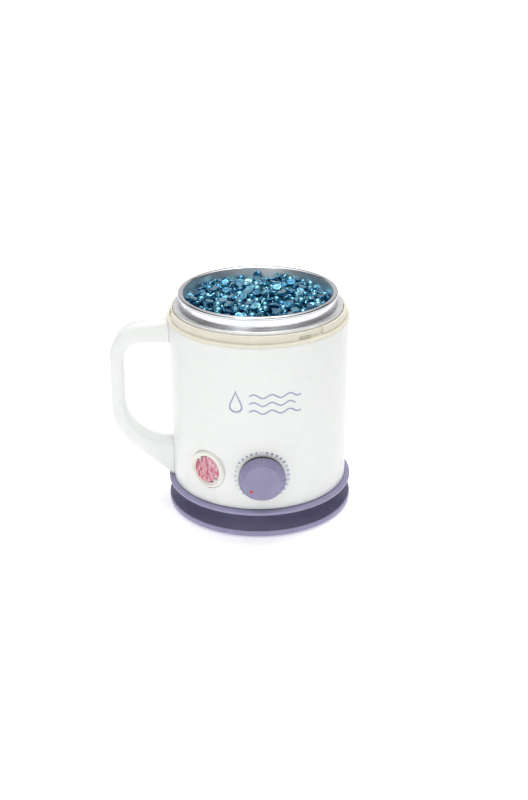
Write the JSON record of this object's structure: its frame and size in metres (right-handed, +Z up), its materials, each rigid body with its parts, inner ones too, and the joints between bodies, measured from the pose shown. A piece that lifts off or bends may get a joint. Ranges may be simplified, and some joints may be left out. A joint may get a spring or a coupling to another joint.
{
  "type": "wax warmer pot",
  "caption": "Mug-shaped electric wax warmer with a lift-out metal wax pot, temperature dial, round rocker switch, side handle and waisted base.",
  "frame": {"origin": "on the pot's axis, on the surface that the feet stand on", "axes": "+Z up, -Y towards the front with the dial, the handle points to -X"},
  "size_m": [0.1681, 0.1352, 0.1566],
  "materials": {
    "white_shell": "semi-gloss moulded",
    "lilac_plastic": "satin moulded",
    "violet_plastic": "fine matt texture",
    "cream_plastic": "satin moulded",
    "aluminium": "turned satin",
    "polished_aluminium": "polished",
    "zinc_steel": "zinc plated",
    "brass": "plain",
    "copper": "drawn",
    "black_rubber": "matt",
    "grey_silicone": "matt",
    "ceramic": "unglazed",
    "glass_fibre": "woven",
    "black_plastic": "matt",
    "rocker_red": "translucent gloss",
    "dot_red": "paint",
    "pearl_wax": "pearl",
    "brown_sleeve": "matt",
    "red_sleeve": "matt",
    "white_sleeve": "matt",
    "blue_sleeve": "matt",
    "green_sleeve": "matt"
  },
  "bodies": {
    "warmer": {"base_plate": "lilac_plastic", "base_band": "violet_plastic", "base_ring": "lilac_plastic", "foot_1": "black_rubber", "foot_2": "black_rubber", "foot_3": "black_rubber", "foot_4": "black_rubber", "middle_foot": "black_rubber", "base_screw_1": "zinc_steel", "base_screw_2": "zinc_steel", "base_screw_3": "zinc_steel", "base_screw_4": "zinc_steel", "housing": "white_shell", "handle_front": "white_shell", "handle_rear": "white_shell", "handle_screw_1": "zinc_steel", "handle_screw_2": "zinc_steel", "handle_screw_3": "zinc_steel", "handle_bolt_1": "zinc_steel", "handle_bolt_2": "zinc_steel", "handle_bolt_3": "zinc_steel", "handle_bolt_4": "zinc_steel", "collar_ring": "cream_plastic", "well_gasket": "grey_silicone", "heating_well": "aluminium", "well_spacer": "ceramic", "heat_shield": "zinc_steel", "support_bracket": "zinc_steel", "bracket_screw_1": "zinc_steel", "bracket_screw_2": "zinc_steel", "well_nut": "zinc_steel", "heater_band": "zinc_steel", "heater_clamp_screw": "zinc_steel", "heater_terminal_1": "ceramic", "heater_terminal_2": "ceramic", "insulation_sleeve": "glass_fibre", "thermal_fuse": "zinc_steel", "sensor_bulb": "copper", "sensor_capillary": "copper", "thermostat_body": "black_plastic", "thermostat_plate": "zinc_steel", "thermostat_nut": "brass", "switch_bezel": "cream_plastic", "switch_body": "black_plastic", "cord_grommet": "black_rubber", "terminal_block": "ceramic", "lead_supply": "brown_sleeve", "lead_switch": "red_sleeve", "lead_thermostat": "white_sleeve", "lead_heater": "blue_sleeve", "lead_earth": "green_sleeve"},
    "dial": {"knob": "lilac_plastic", "knob_pointer": "dot_red", "thermostat_shaft": "zinc_steel"},
    "rocker": {"switch_rocker": "rocker_red"},
    "pot": {"wax_pot": "polished_aluminium", "wax_beads": "pearl_wax"}
  },
  "joints": [
    {"name": "knob_turn", "type": "hinge", "parent": "warmer", "child": "dial", "pos_m": [0, -0.0619, 0.0456], "axis": [0, 1, 0], "range_deg": [0, 270]},
    {"name": "rocker_tilt", "type": "hinge", "parent": "warmer", "child": "rocker", "pos_m": [-0.03486, -0.04711, 0.0462], "axis": [0.5274, -0.3902, -0.7547], "range_deg": [0, 20]},
    {"name": "pot_lift", "type": "slide", "parent": "warmer", "child": "pot", "axis": [0, 0, 1], "range_m": [0, 0.1]}
  ]
}
